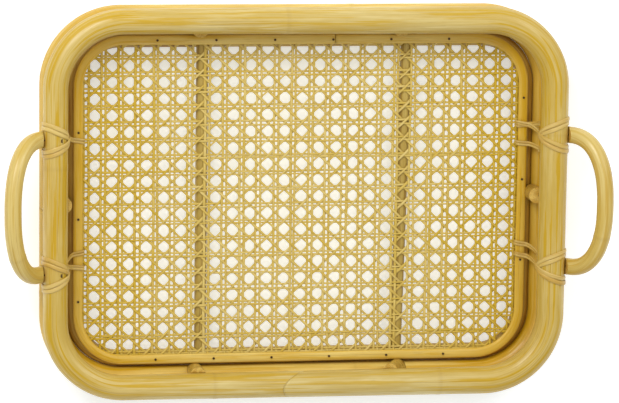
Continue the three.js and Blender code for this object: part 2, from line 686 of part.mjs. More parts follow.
/** How far out the trim's line lies at this y: it comes in once the corner starts. */
function trimLineAt(y) {
  const { halfLength, halfWidth, radius } = trimLoop;
  const past = Math.max(0, Math.abs(y) - (halfWidth - radius));
  return halfLength - radius + Math.sqrt(radius ** 2 - past ** 2);
}

for (const [name, side] of [['left', -1], ['right', 1]]) {
  TRIM_NAILS_END[name].forEach((y, i) => {
    trimNail(`${name}_${i + 1}`, side * trimLineAt(y), y);
  });
}

export default tray;
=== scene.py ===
# %% [markdown]
# # A rattan serving tray with a woven cane floor
#
# The tray is two rings of bent rattan pole, one above the other on short pegs, with a thinner
# ring inside that carries a floor of woven cane. Two D-shaped handles slope up from the ends,
# held by nails and lashed with flat peel. In this lesson every piece is made from a flat sheet
# that is rolled up and bent along the way the real piece runs, and every finish is built from
# nodes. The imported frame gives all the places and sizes.

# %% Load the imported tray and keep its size
import math
import random

import bmesh
import bpy
from mathutils import Matrix, Vector, noise


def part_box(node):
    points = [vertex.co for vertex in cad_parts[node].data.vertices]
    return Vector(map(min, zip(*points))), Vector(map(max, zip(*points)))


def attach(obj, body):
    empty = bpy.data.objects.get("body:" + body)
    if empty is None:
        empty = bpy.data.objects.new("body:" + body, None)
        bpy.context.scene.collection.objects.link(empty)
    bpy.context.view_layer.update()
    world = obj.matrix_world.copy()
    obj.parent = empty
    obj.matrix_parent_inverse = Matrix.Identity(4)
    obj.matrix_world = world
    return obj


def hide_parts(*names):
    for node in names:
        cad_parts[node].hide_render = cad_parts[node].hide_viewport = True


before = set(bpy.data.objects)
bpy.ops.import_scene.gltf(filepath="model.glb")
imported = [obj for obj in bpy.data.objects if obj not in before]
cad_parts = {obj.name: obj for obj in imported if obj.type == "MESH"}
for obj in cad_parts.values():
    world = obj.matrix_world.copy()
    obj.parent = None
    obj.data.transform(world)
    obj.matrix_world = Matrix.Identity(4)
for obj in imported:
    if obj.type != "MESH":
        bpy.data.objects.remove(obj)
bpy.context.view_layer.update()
MM = 0.001

# %% [markdown]
# ## The camera
#
# The tray lies flat and is seen from almost straight above, so the camera stands high over it,
# a little to the left and to the back. A long lens keeps the rings from spreading towards the
# edges. The camera is aimed by building its three axes, because a camera that looks straight
# down has no useful "up" of its own.

# %% Aim the camera
AIM = Vector((5.2, -1.5, 20)) * MM
CAMERA_DISTANCE = 2.6
LEAN_LEFT = math.radians(9.4)
LEAN_BACK = math.radians(9.0)
ROLL = math.radians(-0.75)

back = Vector((-math.sin(LEAN_LEFT), math.sin(LEAN_BACK), 0))
back.z = math.sqrt(1 - back.length_squared)
picture_right = Vector((math.sin(ROLL), math.cos(ROLL), 0)).cross(back).normalized()
picture_up = back.cross(picture_right)

camera_data = bpy.data.cameras.new("tray_camera")
camera_data.lens = 204
camera_data.sensor_width = 36
camera_data.clip_start = 0.1
camera_data.clip_end = 20
camera = bpy.data.objects.new("tray_camera", camera_data)
bpy.context.scene.collection.objects.link(camera)
axes = Matrix((picture_right, picture_up, back)).transposed()
camera.matrix_world = Matrix.Translation(AIM + back * CAMERA_DISTANCE) @ axes.to_4x4()
bpy.context.scene.camera = camera
print("camera at", [round(v, 3) for v in camera.location], "lens", camera_data.lens)

# %% [markdown]
# ## The table and the light
#
# A plain pale table reaches far past the tray, so that its edge stays out of the main view. Two
# large soft lamps stand over the tray's back corners, the left one stronger, so that the tops of
# the poles shine softly. A weaker and larger one stands in front, and the pale surroundings fill
# in the rest. The table glows a little of its own, so that it stays near white.

# %% Table, surroundings and lamps
bpy.context.scene.view_settings.view_transform = "Standard"


def add_object(name, bm):
    """A finished mesh as an object of the scene, its place in its mesh."""
    mesh = bpy.data.meshes.new(name)
    bm.to_mesh(mesh)
    bm.free()
    made = bpy.data.objects.new(name, mesh)
    bpy.context.scene.collection.objects.link(made)
    return made


bm = bmesh.new()
bmesh.ops.create_grid(bm, x_segments=8, y_segments=8, size=8)
table = add_object("table", bm)

table_paint = bpy.data.materials.new("pale_table")
table_paint.use_nodes = True
table_shader = table_paint.node_tree.nodes["Principled BSDF"]
table_shader.inputs["Base Color"].default_value = (0.93, 0.94, 0.945, 1)
table_shader.inputs["Roughness"].default_value = 0.9
table_shader.inputs["Specular IOR Level"].default_value = 0.1
table_shader.inputs["Emission Color"].default_value = (0.84, 0.93, 1.0, 1)
table_shader.inputs["Emission Strength"].default_value = 0.42
table.data.materials.append(table_paint)

world = bpy.data.worlds.new("studio")
world.use_nodes = True
world.node_tree.nodes["Background"].inputs["Color"].default_value = (1.0, 1.0, 1.0, 1)
world.node_tree.nodes["Background"].inputs["Strength"].default_value = 0.5
bpy.context.scene.world = world


def soft_lamp(name, place, size, watts, colour):
    """A square soft lamp that looks at the tray."""
    data = bpy.data.lights.new(name, "AREA")
    data.size = size
    data.energy = watts
    data.color = colour
    lamp = bpy.data.objects.new(name, data)
    lamp.location = place
    lamp.rotation_mode = "QUATERNION"
    lamp.rotation_quaternion = Vector(place).to_track_quat("Z", "Y")
    bpy.context.scene.collection.objects.link(lamp)
    return lamp


soft_lamp("lamp_back_left", (-0.75, 0.95, 1.25), 0.7, 14, (1.0, 0.99, 0.97))
soft_lamp("lamp_back_right", (0.85, 0.85, 1.25), 0.7, 6.5, (1.0, 0.99, 0.97))
soft_lamp("lamp_front", (0.1, -1.4, 1.5), 1.2, 4, (1.0, 0.98, 0.95))

# %% [markdown]
# ## Rolling a sheet along a way
#
# A pole, a strip and a cane strand are all long things with the same cut across all along.
# They could be swept curves, but then the grain would have no place on them to follow. Here a
# flat grid is rolled round into a tube and bent along its way. The grid's own UV map rolls up
# with it, so each point knows how far along the pole it is, in metres, and how far round.

# %% Walk a way in even steps
def walk(route, steps):
    """Even stations of a route: point, way out to the side, way up, and distance so far.

    route(share) gives a point and the way up there, for a share from 0 to 1.
    """
    fine = 6 * steps
    points = [route(i / fine)[0] for i in range(fine + 1)]
    so_far = [0.0]
    for start, end in zip(points, points[1:]):
        so_far.append(so_far[-1] + (end - start).length)
    stations = []
    index = 0
    for i in range(steps + 1):
        wanted = so_far[-1] * i / steps
        while index < fine - 1 and so_far[index + 1] < wanted:
            index += 1
        run = so_far[index + 1] - so_far[index]
        share = min((index + (wanted - so_far[index]) / run) / fine, 1.0)
        point, up = route(share)
        along = route(min(share + 1e-4, 1))[0] - route(max(share - 1e-4, 0))[0]
        side = along.cross(up).normalized()
        stations.append((point, side, side.cross(along).normalized(), wanted))
    return stations


print("a straight walk:", walk(lambda t: (Vector((t, 0, 0)), Vector((0, 0, 1))), 2)[1])


# %% Roll a sheet along those stations
def new_sheets():
    """An empty bmesh with the map for the grain and a value that marks a pole's nodes."""
    bm = bmesh.new()
    bm.loops.layers.uv.new("grain")
    bm.verts.layers.float.new("node_ring")
    return bm


def roll(bm, stations, sides, section, number=0, marks=()):
    """Rolls one sheet into a tube along the stations.

    section(distance, turn) gives how far out and how far up a point of the cut lies. The
    number tells this piece's grain from the others'. marks are distances of nodes.
    """
    grain = bm.loops.layers.uv["grain"]
    ring = bm.verts.layers.float["node_ring"]
    steps = len(stations) - 1
    length = stations[-1][3]
    made = bmesh.ops.create_grid(bm, x_segments=steps, y_segments=sides, size=0.5, calc_uvs=True)
    faces = {face for vert in made["verts"] for face in vert.link_faces}
    for vert in made["verts"]:
        point, side, up, distance = stations[round((vert.co.x + 0.5) * steps)]
        out, rise = section(distance, vert.co.y + 0.5)
        vert.co = point + side * out + up * rise
        vert[ring] = sum(math.exp(-(((distance - m) / (1.3 * MM)) ** 2)) for m in marks)
    for face in faces:
        face.smooth = True
        for loop in face.loops:
            along, turn = loop[grain].uv
            loop[grain].uv = (along * length, turn + number)
    bmesh.ops.remove_doubles(bm, verts=made["verts"], dist=1e-7)
    rims = {edge for face in faces if face.is_valid for edge in face.edges if edge.is_boundary}
    if rims:
        bmesh.ops.holes_fill(bm, edges=list(rims), sides=0)
    return faces


def finish_piece(name, bm, stands_for, slot, *materials):
    """Turns the bmesh into a piece that rides on the tray."""
    bmesh.ops.recalc_face_normals(bm, faces=bm.faces)
    piece = add_object(name, bm)
    for material in materials:
        piece.data.materials.append(material)
    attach(piece, "root")
    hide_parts(*stands_for)
    triangles = sum(len(p.vertices) - 2 for p in piece.data.polygons)
    print(name, "stands for", ", ".join(stands_for), "with", triangles, "triangles")
    return piece


# %% [markdown]
# ## The grain of rattan
#
# Rattan is a climbing palm. Under its skin it is all fibres that run along the pole, with fine
# pores between them, so every finish of the tray starts from the same long streaks. The group
# below winds the flat grain map back into a straight pole in its own space, which has no seam,
# and stretches noise along it. Each finish then gives its own pole thickness.

# %% Put nodes into a tree
def put(tree, kind, sockets=None, **settings):
    """Adds a node. Sockets are given as values, or as the outputs that feed them."""
    node = tree.nodes.new(kind)
    for name, value in settings.items():
        setattr(node, name, value)
    for name, value in (sockets or {}).items():
        if isinstance(value, bpy.types.NodeSocket):
            tree.links.new(value, node.inputs[name])
        else:
            node.inputs[name].default_value = value
    return node


def maths(tree, operation, first, second=0.0, clamp=False):
    """One sum. Returns its output."""
    return put(tree, "ShaderNodeMath", {0: first, 1: second}, operation=operation,
               use_clamp=clamp).outputs[0]


def spread(tree, value, low, high):
    """Stretches the part of a value from low to high over 0 to 1."""
    return put(tree, "ShaderNodeMapRange", {"Value": value, "From Min": low, "From Max": high},
               interpolation_type="SMOOTHSTEP").outputs["Result"]


def blend_colours(tree, share, first, second, mode="MIX"):
    """Mixes two colours. Returns the colour output."""
    node = tree.nodes.new("ShaderNodeMix")
    node.data_type = "RGBA"
    node.blend_type = mode
    for index, value in ((0, share), (6, first), (7, second)):
        if isinstance(value, bpy.types.NodeSocket):
            tree.links.new(value, node.inputs[index])
        else:
            node.inputs[index].default_value = value
    return node.outputs[2]


def new_group(name, inputs, outputs):
    """A shader node group with named numbers in and out."""
    tree = bpy.data.node_groups.new(name, "ShaderNodeTree")
    for socket, value in inputs.items():
        made = tree.interface.new_socket(socket, in_out="INPUT", socket_type="NodeSocketFloat")
        made.default_value = value
    for socket in outputs:
        tree.interface.new_socket(socket, in_out="OUTPUT", socket_type="NodeSocketFloat")
    enter = tree.nodes.new("NodeGroupInput")
    leave = tree.nodes.new("NodeGroupOutput")
    return tree, enter, leave


# %% The group of long fibres
fibres, enter, leave = new_group(
    "rattan_fibres",
    {"Thickness": 0.0195, "Fibre Length": 0.05, "Fibre Width": 0.0009},
    ["Streak", "Pores", "Mottle", "Stain", "Lines"],
)
place = put(fibres, "ShaderNodeSeparateXYZ", {0: put(fibres, "ShaderNodeUVMap",
                                                     uv_map="grain").outputs[0]})
turn = maths(fibres, "MULTIPLY", place.outputs["Y"], math.tau)
radius = maths(fibres, "MULTIPLY", enter.outputs["Thickness"], 0.5)
across = maths(fibres, "MULTIPLY", maths(fibres, "COSINE", turn), radius)
upward = maths(fibres, "MULTIPLY", maths(fibres, "SINE", turn), radius)
number = maths(fibres, "FLOOR", place.outputs["Y"])


def stretched_noise(length, width, detail, roughness, offset):
    """Noise whose grains are so long and so wide, different on each numbered piece."""
    vector = put(fibres, "ShaderNodeCombineXYZ", {
        "X": maths(fibres, "DIVIDE", place.outputs["X"], length),
        "Y": maths(fibres, "DIVIDE", across, width),
        "Z": maths(fibres, "DIVIDE", upward, width),
    })
    return put(fibres, "ShaderNodeTexNoise", {
        "Vector": vector.outputs[0],
        "W": maths(fibres, "ADD", maths(fibres, "MULTIPLY", number, 3.17), offset),
        "Scale": 1.0, "Detail": detail, "Roughness": roughness,
    }, noise_dimensions="4D").outputs["Fac"]


long_streaks = stretched_noise(enter.outputs["Fibre Length"], enter.outputs["Fibre Width"],
                               4.0, 0.62, 0.0)
short_pores = stretched_noise(
    maths(fibres, "MULTIPLY", enter.outputs["Fibre Length"], 0.16),
    maths(fibres, "MULTIPLY", enter.outputs["Fibre Width"], 0.55), 2.0, 0.5, 5.0,
)
broad_mottle = stretched_noise(0.06, 0.006, 3.0, 0.55, 11.0)
broad_stain = stretched_noise(0.075, 0.0024, 4.0, 0.62, 17.0)
thin_lines = stretched_noise(0.12, 0.0007, 2.0, 0.5, 23.0)
fibres.links.new(spread(fibres, long_streaks, 0.36, 0.64), leave.inputs["Streak"])
fibres.links.new(spread(fibres, short_pores, 0.62, 0.74), leave.inputs["Pores"])
fibres.links.new(spread(fibres, broad_mottle, 0.38, 0.62), leave.inputs["Mottle"])
fibres.links.new(spread(fibres, broad_stain, 0.5, 0.6), leave.inputs["Stain"])
fibres.links.new(spread(fibres, thin_lines, 0.6, 0.68), leave.inputs["Lines"])
print("group", fibres.name, "with", len(fibres.nodes), "nodes")

# %% [markdown]
# ## Painted light and shade on the poles
#
# The poles are painted palest on top and more golden where they turn away, as painted light from above
# and painted shade on the sides. The group measures how far the surface looks up, so the effect
# doesn't depend on the camera.

# %% The group of painted top light
top_light_tree, enter, leave = new_group("painted_top_light", {"From": 0.2, "To": 0.95}, ["Bleached"])
facing = put(top_light_tree, "ShaderNodeSeparateXYZ",
             {0: put(top_light_tree, "ShaderNodeNewGeometry").outputs["Normal"]})
top_light_tree.links.new(spread(top_light_tree, facing.outputs["Z"], enter.outputs["From"],
                        enter.outputs["To"]), leave.inputs["Bleached"])
print("group", top_light_tree.name)

# %% [markdown]
# ## Amber towards the ends
#
# This tray is more amber towards its two ends than in its middle. The group reads the place
# along the tray in the tray's own space, and starts to add amber some way out from the middle.

# %% The group of amber ends
amber, enter, leave = new_group("amber_ends", {"From": 0.07, "To": 0.16}, ["Amber"])
tray_place = put(amber, "ShaderNodeSeparateXYZ",
                 {0: put(amber, "ShaderNodeTexCoord").outputs["Object"]})
amber.links.new(spread(amber, maths(amber, "ABSOLUTE", tray_place.outputs["X"]),
                       enter.outputs["From"], enter.outputs["To"]), leave.inputs["Amber"])
print("group", amber.name)

# %% [markdown]
# ## The group that tells strands apart
#
# Strips and strands come from different stalks, so no two have quite the same colour. Each was
# given a whole number in its grain map when it was rolled. White noise turns that number into
# a value of its own.

# %% The group of strand tones
tones, enter, leave = new_group("strand_tones", {"Seed": 1.0}, ["Tone"])
own_place = put(tones, "ShaderNodeSeparateXYZ", {0: put(tones, "ShaderNodeUVMap",
                                                        uv_map="grain").outputs[0]})
own_number = maths(tones, "FLOOR", own_place.outputs["Y"])
random_tone = put(tones, "ShaderNodeTexWhiteNoise", {
    "W": maths(tones, "ADD", own_number, enter.outputs["Seed"])}, noise_dimensions="1D")
tones.links.new(random_tone.outputs["Value"], leave.inputs["Tone"])
print("group", tones.name)


# %% [markdown]
# ## Lacquered rattan
#
# One recipe serves all the rattan: straw and gold mixed by the streaks, a painted highlight that makes
# the tops paler, ochre where the lacquer has pooled or the stalk was stained, dark pores, and a thin
# satin coat over it. The numbers differ from pole to strip to strand.

# %% The recipe
def colour(red, green, blue):
    """A colour as the eye names it, 0 to 255, turned into light."""
    return tuple(((v / 255 + 0.055) / 1.055) ** 2.4 for v in (red, green, blue)) + (1.0,)


def rattan(name, pale, gold, ochre, thickness, fibre_length, fibre_width, gloss, coat,
           stain_share, amber_share=0.3, tone_share=0.0, bump=0.12):
    """A lacquered rattan finish."""
    material = bpy.data.materials.new(name)
    material.use_nodes = True
    tree = material.node_tree
    shader = tree.nodes["Principled BSDF"]
    grain = put(tree, "ShaderNodeGroup", node_tree=fibres)
    grain.inputs["Thickness"].default_value = thickness
    grain.inputs["Fibre Length"].default_value = fibre_length
    grain.inputs["Fibre Width"].default_value = fibre_width
    top = put(tree, "ShaderNodeGroup", node_tree=top_light_tree)
    ends = put(tree, "ShaderNodeGroup", node_tree=amber)
    tone = put(tree, "ShaderNodeGroup", node_tree=tones)

    body = blend_colours(tree, grain.outputs["Mottle"], gold, pale)
    # Painted highlight: faces that look up are mixed towards the pale colour, as painted light from
    # above.
    body = blend_colours(tree, maths(tree, "MULTIPLY", top.outputs["Bleached"], 0.25), body, pale)
    body = blend_colours(tree, maths(tree, "MULTIPLY", grain.outputs["Streak"], 0.5), body, gold)
    amber_part = maths(tree, "MULTIPLY", ends.outputs["Amber"], amber_share)
    stain = maths(tree, "MULTIPLY", grain.outputs["Stain"], stain_share)
    ochre_part = maths(tree, "ADD", amber_part, stain, clamp=True)
    if tone_share:
        own = maths(tree, "MULTIPLY", tone.outputs["Tone"], tone_share)
        ochre_part = maths(tree, "ADD", ochre_part, own, clamp=True)
    body = blend_colours(tree, ochre_part, body, ochre)
    ring = put(tree, "ShaderNodeAttribute", attribute_name="node_ring").outputs["Fac"]
    dark = maths(tree, "MULTIPLY", grain.outputs["Pores"], 0.2)
    dark = maths(tree, "ADD", dark, maths(tree, "MULTIPLY", grain.outputs["Lines"], 0.3))
    dark = maths(tree, "ADD", dark, maths(tree, "MULTIPLY", ring, 0.12), clamp=True)
    body = blend_colours(tree, dark, body, colour(138, 92, 22))
    tree.links.new(body, shader.inputs["Base Color"])

    rough = maths(tree, "ADD", maths(tree, "MULTIPLY", grain.outputs["Streak"], 0.14), gloss)
    rough = maths(tree, "ADD", rough, maths(tree, "MULTIPLY", dark, 0.25), clamp=True)
    tree.links.new(rough, shader.inputs["Roughness"])
    shader.inputs["Coat Weight"].default_value = coat
    shader.inputs["Coat Roughness"].default_value = 0.22
    height = maths(tree, "SUBTRACT", maths(tree, "MULTIPLY", grain.outputs["Streak"], 0.6),
                   grain.outputs["Pores"])
    raised = put(tree, "ShaderNodeBump", {"Height": height, "Strength": bump * 4,
                                          "Distance": 0.0002})
    tree.links.new(raised.outputs["Normal"], shader.inputs["Normal"])
    return material


POLE = rattan("lacquered_pole", pale=colour(220, 200, 132), gold=colour(196, 166, 76),
              ochre=colour(200, 160, 8), thickness=0.0195, fibre_length=0.06, fibre_width=0.0011,
              gloss=0.4, coat=0.25, stain_share=0.75, amber_share=0.35)
BASE = rattan("lacquered_base_pole", pale=colour(234, 204, 108), gold=colour(214, 176, 70),
              ochre=colour(206, 160, 8), thickness=0.0195, fibre_length=0.06, fibre_width=0.0011,
              gloss=0.4, coat=0.25, stain_share=0.75, amber_share=0.5)
THIN_POLE = rattan("thin_lacquered_pole", pale=colour(208, 178, 86), gold=colour(186, 150, 52),
                   ochre=colour(150, 104, 6), thickness=0.0115, fibre_length=0.05, fibre_width=0.0009,
                   gloss=0.42, coat=0.2, stain_share=0.6, amber_share=0.3)
BAR = rattan("shaded_bar_pole", pale=colour(196, 170, 86), gold=colour(174, 144, 56),
             ochre=colour(132, 94, 8), thickness=0.009, fibre_length=0.05, fibre_width=0.0009,
             gloss=0.45, coat=0.15, stain_share=0.6, amber_share=0.2)
HANDLE = rattan("pale_handle_pole", pale=colour(222, 198, 120), gold=colour(204, 172, 74),
                ochre=colour(196, 152, 24), thickness=0.0124, fibre_length=0.06, fibre_width=0.0008,
                gloss=0.38, coat=0.3, stain_share=0.55, amber_share=0.0)
TRIM = rattan("split_trim_strip", pale=colour(238, 210, 116), gold=colour(220, 184, 76),
              ochre=colour(216, 170, 12), thickness=0.006, fibre_length=0.07, fibre_width=0.0007,
              gloss=0.42, coat=0.25, stain_share=0.6, amber_share=0.62)
CANE = rattan("woven_cane", pale=colour(230, 208, 132), gold=colour(212, 182, 84),
              ochre=colour(206, 170, 10), thickness=0.0016, fibre_length=0.02, fibre_width=0.00035,
              gloss=0.42, coat=0.2, stain_share=0.4, amber_share=0.6, tone_share=0.35)
PEEL = rattan("lashing_peel", pale=colour(226, 200, 122), gold=colour(206, 172, 80),
              ochre=colour(190, 142, 30), thickness=0.003, fibre_length=0.03, fibre_width=0.0005,
              gloss=0.38, coat=0.3, stain_share=0.45, amber_share=0.0, tone_share=0.3)
print("finishes:", [m.name for m in (POLE, BASE, THIN_POLE, BAR, HANDLE, TRIM, CANE, PEEL)])

# %% [markdown]
# ## Cut ends and nails
#
# Where a pole is cut across, its pores show as dark dots in paler pith. Nails are wire nails
# that have gone brown under the lacquer.

# %% End grain and nail finishes
CUT_END = bpy.data.materials.new("cut_pole_end")
CUT_END.use_nodes = True
tree = CUT_END.node_tree
shader = tree.nodes["Principled BSDF"]
where = put(tree, "ShaderNodeTexCoord").outputs["Object"]
pores = put(tree, "ShaderNodeTexVoronoi", {"Vector": where, "Scale": 1500.0}).outputs["Distance"]
dots = spread(tree, pores, 0.42, 0.18)
cloud = put(tree, "ShaderNodeTexNoise", {"Vector": where, "Scale": 260.0, "Detail": 3.0})
pith = blend_colours(tree, spread(tree, cloud.outputs["Fac"], 0.3, 0.7),
                     colour(226, 192, 98), colour(204, 160, 58))
pith = blend_colours(tree, maths(tree, "MULTIPLY", dots, 0.55), pith, colour(120, 80, 24))
tree.links.new(pith, shader.inputs["Base Color"])
tree.links.new(maths(tree, "ADD", maths(tree, "MULTIPLY", dots, 0.2), 0.5),
               shader.inputs["Roughness"])
dented = put(tree, "ShaderNodeBump", {"Height": maths(tree, "MULTIPLY", dots, -1.0),
                                      "Strength": 0.5, "Distance": 0.0002})
tree.links.new(dented.outputs["Normal"], shader.inputs["Normal"])

NAIL = bpy.data.materials.new("browned_nail")
NAIL.use_nodes = True
tree = NAIL.node_tree
shader = tree.nodes["Principled BSDF"]
where = put(tree, "ShaderNodeTexCoord").outputs["Object"]
rust = put(tree, "ShaderNodeTexNoise", {"Vector": where, "Scale": 900.0, "Detail": 4.0})
patches = spread(tree, rust.outputs["Fac"], 0.4, 0.65)
tree.links.new(blend_colours(tree, patches, colour(72, 58, 40), colour(104, 70, 34)),
               shader.inputs["Base Color"])
tree.links.new(maths(tree, "ADD", maths(tree, "MULTIPLY", patches, 0.35), 0.35),
               shader.inputs["Roughness"])
tree.links.new(maths(tree, "SUBTRACT", 0.85, maths(tree, "MULTIPLY", patches, 0.5)),
               shader.inputs["Metallic"])
pitted = put(tree, "ShaderNodeBump", {"Height": rust.outputs["Fac"], "Strength": 0.4,
                                      "Distance": 0.0001})
tree.links.new(pitted.outputs["Normal"], shader.inputs["Normal"])
for node_name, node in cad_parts.items():
    if "nail" in node_name or "pin" in node_name:
        node.data.materials.clear()
        node.data.materials.append(NAIL)
print("nails keep their frame shape and get", NAIL.name)

# %% [markdown]
# ## The two big rings
#
# A ring is one long pole, steamed and bent round four corners until its ends meet in a slanting
# cut. Its thickness wanders a little, as a plant's does, and every hand's breadth or two there
# is a node, a low ridge where a leaf once grew. The pole is rolled along a rounded rectangle
# that starts at the cut.

# %% The way round a rounded rectangle
def loop_route(node, width, bend, z, start, gap=0.0):
    """The middle line of a ring: a route once round it, anticlockwise, ending a gap short.

    The width is the pole's or strip's own, the bend is the middle line's radius at a corner.
    The start is a distance along the loop from the left end of its straight front side.
    """
    low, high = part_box(node)
    half_length = (high.x - low.x - width) / 2
    half_width = (high.y - low.y - width) / 2
    runs = [2 * (half_length - bend), bend * math.pi / 2, 2 * (half_width - bend),
            bend * math.pi / 2] * 2
    length = sum(runs)

    def route(share):
        left = (start + share * (length - gap)) % length
        point = Vector((bend - half_length, -half_width, z))
        heading = Vector((1, 0, 0))
        for index, run in enumerate(runs):
            step = min(left, run)
            inward = Vector((-heading.y, heading.x, 0))
            if index % 2:
                turn = step / bend
                point += heading * (bend * math.sin(turn)) + inward * (bend * (1 - math.cos(turn)))
                heading = heading * math.cos(turn) + inward * math.sin(turn)
            else:
                point += heading * step
            left -= step
            if left <= 0:
                break
        return point, Vector((0, 0, 1))

    print(node, "is", round(length / MM), "mm round its middle line")
    return route, length


# %% How thick a pole is along its length
def natural_girth(thickness, nodes, seed, change=0.0, fattest=0.0, length=1.0):
    """Thickness at a distance: a slow wander, one swelling side, and a ridge at each node."""
    def girth(distance):
        wander = 0.012 * noise.noise(Vector((distance * 14, seed, 0.5)))
        side = change * math.cos((distance - fattest) / length * math.tau)
        ridge = sum(math.exp(-(((distance - n) / (2.2 * MM)) ** 2)) for n in nodes)
        return thickness * (1 + wander + side) + 0.3 * MM * ridge
    return girth


def round_section(girth, flatten=0.0):
    """The cut of a round pole."""
    def section(distance, turn):
        angle = turn * math.tau
        half = girth(distance) / 2
        return half * math.cos(angle), half * (1 - flatten) * math.sin(angle)
    return section


# %% [markdown]
# The rim's two ends meet on the front side in a long slanting cut, one tongue over the other.
# After the pole is rolled its first and last few steps are slid along, less at the bottom of the
# pole than at its top, until they lie in the plane of the cut.

# %% Top rim and base ring
RIM_NODES = [n * MM for n in (104, 352, 617, 871, 1131)]
BASE_NODES = [n * MM for n in (58, 330, 590, 848, 1090)]
FRAME_NODES = [n * MM for n in (210, 505, 790)]


def pole_ring(name, node, bend, start, slope, lean, girth_of, nodes, steps, number, paint):
    """A ring of pole whose joint slopes, leaning out from straight down."""
    low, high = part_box(node)
    pole = high.z - low.z
    route, length = loop_route(node, pole, bend, (low.z + high.z) / 2, start, 0.35 * MM)
    stations = walk(route, steps)
    bm = new_sheets()
    roll(bm, stations, 32, round_section(girth_of(pole, length)), number, nodes)
    joint, outward, up, _ = stations[0]
    ahead = up.cross(outward)
    aside = up * math.cos(lean) + outward * math.sin(lean)
    reach = 40 * MM
    for vert in bm.verts:
        away = vert.co - joint
        share = 1 - abs(away.dot(ahead)) / reach
        if share > 0 and away.length < 1.5 * reach:
            vert.co -= ahead * (math.tan(slope) * away.dot(aside) * share)
    return finish_piece(name, bm, [node], "pole", paint)


rim_low, rim_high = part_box("top_rim")
RIM_POLE = rim_high.z - rim_low.z
RIM_X = rim_high.x - RIM_POLE / 2
RIM_Z = (rim_low.z + rim_high.z) / 2
RIM_BEND = 50.25 * MM
RIM_CUT_X = -3 * MM
RIM_CUT_SLOPE = math.radians(56)
RIM_CUT_LEAN = math.radians(15)
RIM_SWELL = 0.06
FATTEST = 310 * MM
BASE_BEND = 49.75 * MM
BASE_CUT_AT = 1040 * MM
BASE_CUT_SLOPE = math.radians(30)
BASE_CUT_LEAN = math.radians(90)
pole_ring("rim_pole", "top_rim", RIM_BEND, RIM_CUT_X + RIM_X - RIM_BEND, RIM_CUT_SLOPE,
          RIM_CUT_LEAN,
          lambda pole, length: natural_girth(pole, RIM_NODES, 1, RIM_SWELL, FATTEST, length),
          RIM_NODES, 720, 1, POLE)
pole_ring("base_pole", "base_ring", BASE_BEND, BASE_CUT_AT, BASE_CUT_SLOPE, BASE_CUT_LEAN,
          lambda pole, length: natural_girth(pole, BASE_NODES, 2), BASE_NODES, 600, 2, BASE)

# %% [markdown]
# ## The thin ring and its two bars
#
# Inside the base ring a thinner pole carries the floor. Two still thinner bars run under the
# floor from its front to its back. Their ends are hollowed to sit against the ring, so the last
# points of each bar are pushed back to where the ring's surface is.

# %% Floor ring and cross bars
thin_low, thin_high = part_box("web_frame")
THIN = thin_high.z - thin_low.z
FRAME_X = thin_high.x - THIN / 2
FRAME_Y = thin_high.y - THIN / 2
FRAME_Z = (thin_low.z + thin_high.z) / 2
FLOOR_BEND = 33.95 * MM
FLOOR_CUT_AT = 610 * MM
FLOOR_FATTER = 1.06  # closes the frame's narrow gap between this pole and the base ring
pole_ring("floor_pole", "web_frame", FLOOR_BEND, FLOOR_CUT_AT, 0.0, 0.0,
          lambda pole, length: natural_girth(FLOOR_FATTER * pole, FRAME_NODES, 3), FRAME_NODES, 460, 3,
          THIN_POLE)


def cross_bar(name, node, lean, number, nodes):
    """A bar under the floor, between the front and the back of the thin ring."""
    low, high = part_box(node)
    middle = (low + high) / 2
    half = FRAME_Y - 1 * MM

    def route(share):
        y = (2 * share - 1) * half
        return Vector((middle.x + math.tan(lean) * y, y, middle.z)), Vector((0, 0, 1))

    bm = new_sheets()
    girth = natural_girth(high.z - low.z, nodes, number)
    roll(bm, walk(route, 120), 24, round_section(girth), number, nodes)
    for vert in bm.verts:
        hollow = (THIN / 2 + 0.2 * MM) ** 2 - (vert.co.z - FRAME_Z) ** 2
        limit = FRAME_Y - math.sqrt(max(hollow, 0))
        vert.co.y = max(-limit, min(limit, vert.co.y))
    return finish_piece(name, bm, [node], "pole", BAR)


RIGHT_BAR_LEAN = math.radians(1.25)
cross_bar("left_bar", "cross_bar_left", 0.0, 4, [66 * MM])
cross_bar("right_bar", "cross_bar_right", RIGHT_BAR_LEAN, 5, [171 * MM])

# %% [markdown]
# ## The strip round the floor
#
# A split strip, flat below and rounded above, is nailed down over the edge of the cane. Its two
# ends meet at the back with a narrow gap. It is rolled like a pole, but its cut is a low dome:
# the lower half of the circle is pressed flat.

# %% Edge strip
trim_low, trim_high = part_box("web_trim")
TRIM_WIDTH = 7.1 * MM
TRIM_HEIGHT = trim_high.z - trim_low.z
TRIM_EDGE = 0.9 * MM


def dome_section(distance, turn):
    """A low dome on a flat underside, its width wandering a little."""
    angle = turn * math.tau
    width = TRIM_WIDTH * (1 + 0.05 * noise.noise(Vector((distance * 16, 3.3, 7))))
    out = math.copysign(abs(math.cos(angle)) ** 0.75, math.cos(angle)) * width / 2
    rise = TRIM_EDGE + math.sin(angle) * (TRIM_HEIGHT - TRIM_EDGE)
    if math.sin(angle) < 0:
        rise = TRIM_EDGE * (1 - min(1.0, -3 * math.sin(angle)))
    return out, rise


TRIM_X = trim_high.x - TRIM_WIDTH / 2
TRIM_Y = trim_high.y - TRIM_WIDTH / 2
STRIP_JOINT_AT = 651 * MM
STRIP_JOINT_GAP = 0.6 * MM
strip_route, _ = loop_route("web_trim", TRIM_WIDTH, FLOOR_BEND, trim_low.z, STRIP_JOINT_AT,
                            STRIP_JOINT_GAP)
bm = new_sheets()
roll(bm, walk(strip_route, 420), 20, dome_section, 6)
finish_piece("edge_strip", bm, ["web_trim"], "trim_strip", TRIM)

